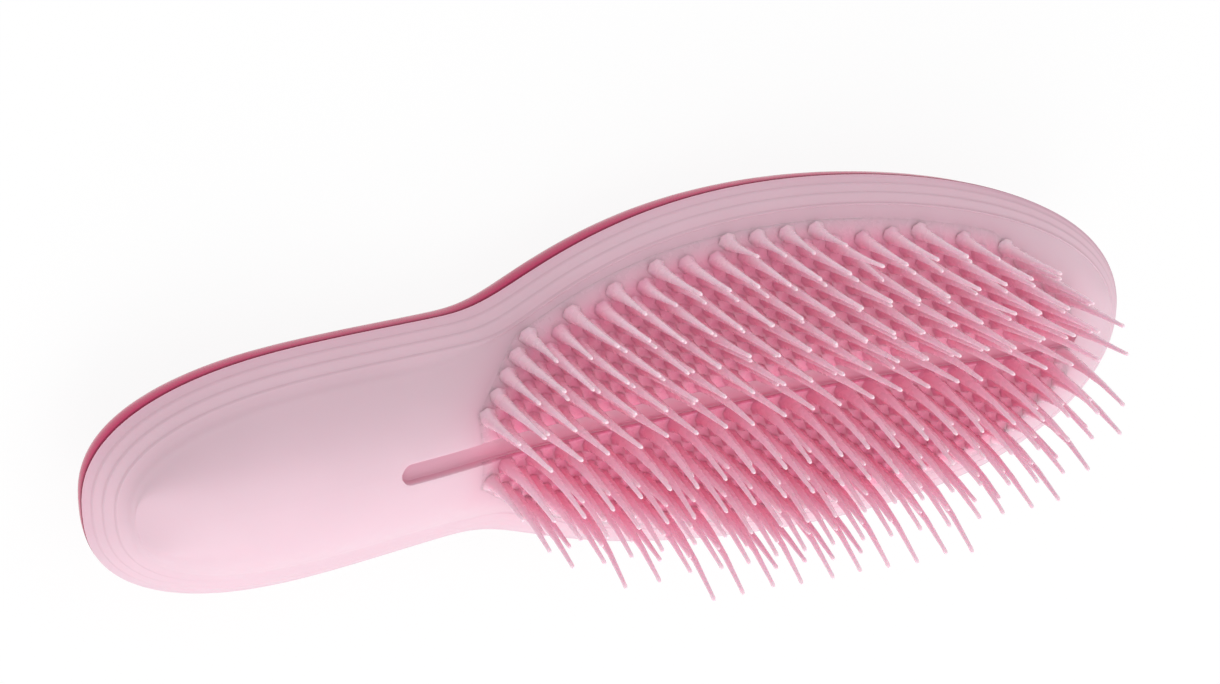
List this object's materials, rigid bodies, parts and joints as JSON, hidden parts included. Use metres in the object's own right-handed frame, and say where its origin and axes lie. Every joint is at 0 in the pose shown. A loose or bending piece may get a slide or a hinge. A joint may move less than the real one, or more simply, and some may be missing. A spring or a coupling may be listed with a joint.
{
  "type": "detangling brush",
  "caption": "Handheld detangling brush: hollow two-shell body with a flared handle, a creased border, a middle channel and fields of long and short flexible teeth.",
  "frame": {"origin": "centre of the brush's outline, on the plane that its back rests on", "axes": "+X along the brush from the handle to the head, +Z from the back to the teeth, +Y across the brush"},
  "size_m": [0.22, 0.0754, 0.0559],
  "materials": {
    "back_plastic": "glossy deep pink",
    "front_plastic": "satin pale pink, slightly translucent",
    "tooth_plastic": "soft translucent pink"
  },
  "bodies": {
    "root": {"back_shell": "back_plastic", "front_shell": "front_plastic", "tooth_pad_upper": "tooth_plastic", "tooth_pad_lower": "tooth_plastic"}
  },
  "joints": []
}
